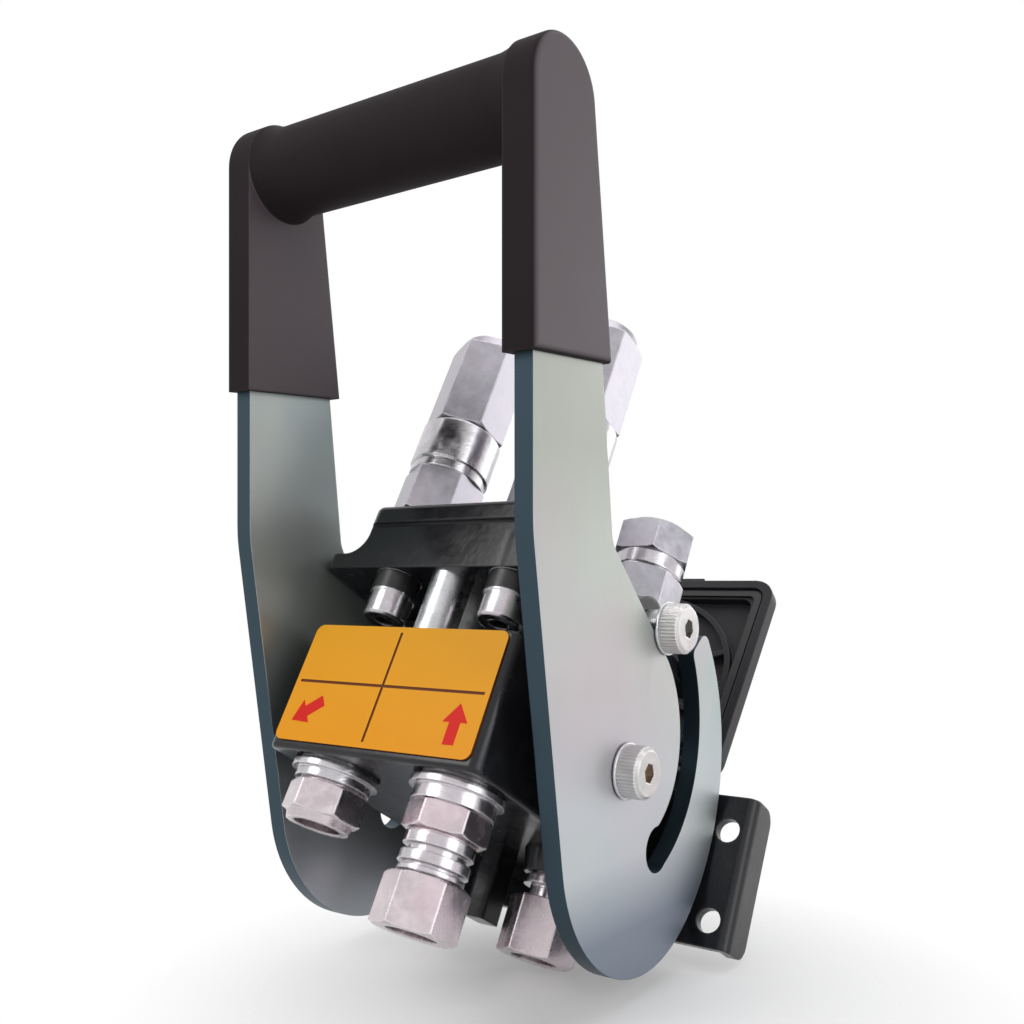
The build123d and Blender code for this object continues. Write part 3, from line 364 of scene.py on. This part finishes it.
zinc_sheet()
grip_plastic()
casting_paint("casting_paint", 0.16,
              ("fixed_block", "pivot_bosses", "block_neck", "block_foot", "mobile_casting", "rear_cones"))
casting_paint("bracket_paint", 0.24, ("mounting_bracket",))
lid_plastic()
plated("plated_turned", (0.60, 0.585, 0.61), 0.16,
       ("front_left_collar", "front_right_collar", "long_fitting_collars", "short_fitting_collars",
        "union_neck", "rear_necks", "male_nozzles"), rings=1.2)
plated("plated_hex_low", (0.70, 0.62, 0.65), 0.20,
       ("front_left_nut", "front_right_nut", "union_hose_nut", "rear_hose_nuts"), rings=0.3, milled=0.4)
plated("plated_hex_top", (0.47, 0.455, 0.50), 0.27,
       ("long_fitting_bases", "long_fitting_bodies", "short_fitting_bases", "short_fitting_nuts"), milled=0.6)
plated("screw_steel", (0.66, 0.65, 0.64), 0.26, ("pivot_screws", "cam_screws", "bracket_screws"))
plated("ground_steel", (0.64, 0.65, 0.67), 0.24,
       ("pivot_washers", "cam_washers", "cam_roller_right", "cam_roller_left", "lever_cross_tube",
        "coupling_sockets", "socket_valves", "guide_pins", "hinge_pin"), rings=0.8)
rubber()
brass = bronze()
panel_print()
red = red_print()

for node in nodes.values():
    for polygon in node.data.polygons:
        polygon.use_smooth = True
    if hasattr(node.data, "set_sharp_from_angle"):
        node.data.set_sharp_from_angle(angle=math.radians(28))


# Small pieces
def prism(name, outline, plane, thickness, material, body):
    """A thin prism: outline points in a plane (origin, right, up), thickened along right x up."""
    origin, right, up = plane
    out = right.cross(up).normalized()
    count = len(outline)
    points = [origin + right * a + up * b for a, b in outline]
    points += [point + out * thickness for point in points]
    faces = [tuple(range(count))[::-1], tuple(range(count, 2 * count))]
    faces += [(i, (i + 1) % count, count + (i + 1) % count, count + i) for i in range(count)]
    mesh = bpy.data.meshes.new(name)
    mesh.from_pydata([tuple(point) for point in points], [], faces)
    mesh.validate()
    mesh.materials.append(material)
    piece = bpy.data.objects.new(name, mesh)
    bpy.context.scene.collection.objects.link(piece)
    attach(piece, body)
    return piece


def ring_points(radius, count):
    """Points of a circle, in the plane of a prism."""
    turns = [2 * math.pi * i / count for i in range(count)]
    return [(radius * math.cos(turn), radius * math.sin(turn)) for turn in turns]


def arrow(length, width, head, shaft, turn):
    """Outline of a plain block arrow, pointing up before it is turned."""
    half = length / 2
    neck = half - head
    points = [(-shaft / 2, -half), (shaft / 2, -half), (shaft / 2, neck), (width / 2, neck), (0, half),
              (-width / 2, neck), (-shaft / 2, neck)]
    c, s = math.cos(turn), math.sin(turn)
    return [(a * c - b * s, a * s + b * c) for a, b in points]


right = Vector((1, 0, 0))
for name, x, turn in (("arrow_left", -30.5, math.radians(125)), ("arrow_right", 31.5, 0.0)):
    shape = arrow(ARROW_LENGTH, ARROW_WIDTH, ARROW_HEAD, ARROW_SHAFT, turn)
    prism(name, shape, (halves(x, ARROW_N, ARROW_U), right, AXIS_U), INK, red, "base")

for side, name in ((1, "pivot_disc_right"), (-1, "pivot_disc_left")):
    spot = PIVOT + Vector((side * (HEAD_SEAT + HEAD_HEIGHT - SOCKET_DEPTH), 0, 0))
    plane = (spot, Vector((0, 1, 0)) * side, Vector((0, 0, 1)))
    prism(name, ring_points(PLUG_RADIUS, PLUG_SIDES), plane, PLUG_THICKNESS, brass, "base")


# Floor, lights and camera
low_point = before[0]

floor_mesh = bpy.data.meshes.new("floor")
floor_z = low_point.z - FLOOR_GAP
corners = [(x * FLOOR_SIZE, y * FLOOR_SIZE, floor_z) for x, y in ((-1, -1), (1, -1), (1, 1), (-1, 1))]
floor_mesh.from_pydata(corners, [], [(0, 1, 2, 3)])
floor = bpy.data.objects.new("floor", floor_mesh)
bpy.context.scene.collection.objects.link(floor)


def seen_directly(tree, *others):
    """1 for camera, glossy and transmission rays, and for others that are named, and 0 for the rest."""
    path = tree.nodes.new("ShaderNodeLightPath")
    value = path.outputs["Is Camera Ray"]
    for name in ("Is Glossy Ray", "Is Transmission Ray") + others:
        node = tree.nodes.new("ShaderNodeMath")
        node.operation = "MAXIMUM"
        tree.links.new(value, node.inputs[0])
        tree.links.new(path.outputs[name], node.inputs[1])
        value = node.outputs[0]
    return value


# The floor is pale and matt near the object, where it takes the shadow. Further out it turns clear before
# the white world, so that the lever is seen when it swings down below the floor.
p = Paint("floor_white")
p.set("Base Color", (0.88, 0.88, 0.89))
p.set("Roughness", 0.8)
p.set("Specular IOR Level", 0.1)
shift = p.new("ShaderNodeVectorMath", operation="ADD")
p.put(shift.inputs[0], p.coord)
shift.inputs[1].default_value = (-SHADOW_CENTRE[0], -SHADOW_CENTRE[1], -low_point.z)
far = p.new("ShaderNodeVectorMath", operation="LENGTH")
p.put(far.inputs[0], shift.outputs[0])
clear = p.new("ShaderNodeBsdfTransparent")
blend = p.new("ShaderNodeMixShader")
fade = p.span(far.outputs["Value"], *SHADOW_SPAN, 0.25, 1.0)
p.put(blend.inputs[0], p.math("MULTIPLY", fade, seen_directly(p.tree, "Is Shadow Ray")))
p.tree.links.new(p.bsdf.outputs[0], blend.inputs[1])
p.tree.links.new(clear.outputs[0], blend.inputs[2])
p.tree.links.new(blend.outputs[0], p.tree.nodes["Material Output"].inputs["Surface"])
floor_mesh.materials.append(p.mat)


def lamp(name, location, target, width, height, energy, color=(1, 1, 1)):
    data = bpy.data.lights.new(name, "AREA")
    data.shape = "RECTANGLE"
    data.size = width
    data.size_y = height
    data.energy = energy
    data.color = color
    item = bpy.data.objects.new(name, data)
    item.location = location
    item.rotation_euler = (Vector(target) - Vector(location)).to_track_quat("-Z", "Y").to_euler()
    bpy.context.scene.collection.objects.link(item)
    return item


aim = (0, -0.06, 0.08)
lamp("key", (-0.45, -0.75, 0.85), aim, 0.55, 0.55, 3.6, (1.0, 0.985, 0.97))
lamp("right", (1.00, -0.25, 0.40), aim, 0.5, 0.9, 3.0, (0.97, 0.98, 1.0))
lamp("top", (0.05, 0.25, 1.05), aim, 0.8, 0.5, 1.6)
lamp("back", (0.45, 0.95, 0.35), aim, 0.7, 0.5, 1.6)

world = bpy.data.worlds.new("studio")
bpy.context.scene.world = world
world.use_nodes = True
tree = world.node_tree
background = tree.nodes["Background"]
level = tree.nodes.new("ShaderNodeMapRange")
level.inputs["To Min"].default_value = WORLD_LIGHT
level.inputs["To Max"].default_value = WORLD_SEEN
tree.links.new(seen_directly(tree), level.inputs["Value"])
background.inputs["Color"].default_value = (1, 1, 1, 1)
tree.links.new(level.outputs[0], background.inputs["Strength"])

scene = bpy.context.scene
scene.view_settings.view_transform = "Standard"
camera_data = bpy.data.cameras.new("camera")
camera_data.sensor_width = 36
camera_data.lens = CAMERA_LENS
camera_data.shift_y = CAMERA_SHIFT
camera = bpy.data.objects.new("camera", camera_data)
camera.location = PIVOT + CAMERA_PLACE
camera.rotation_euler = (math.radians(90), 0, math.radians(CAMERA_TURN))
scene.collection.objects.link(camera)
scene.camera = camera
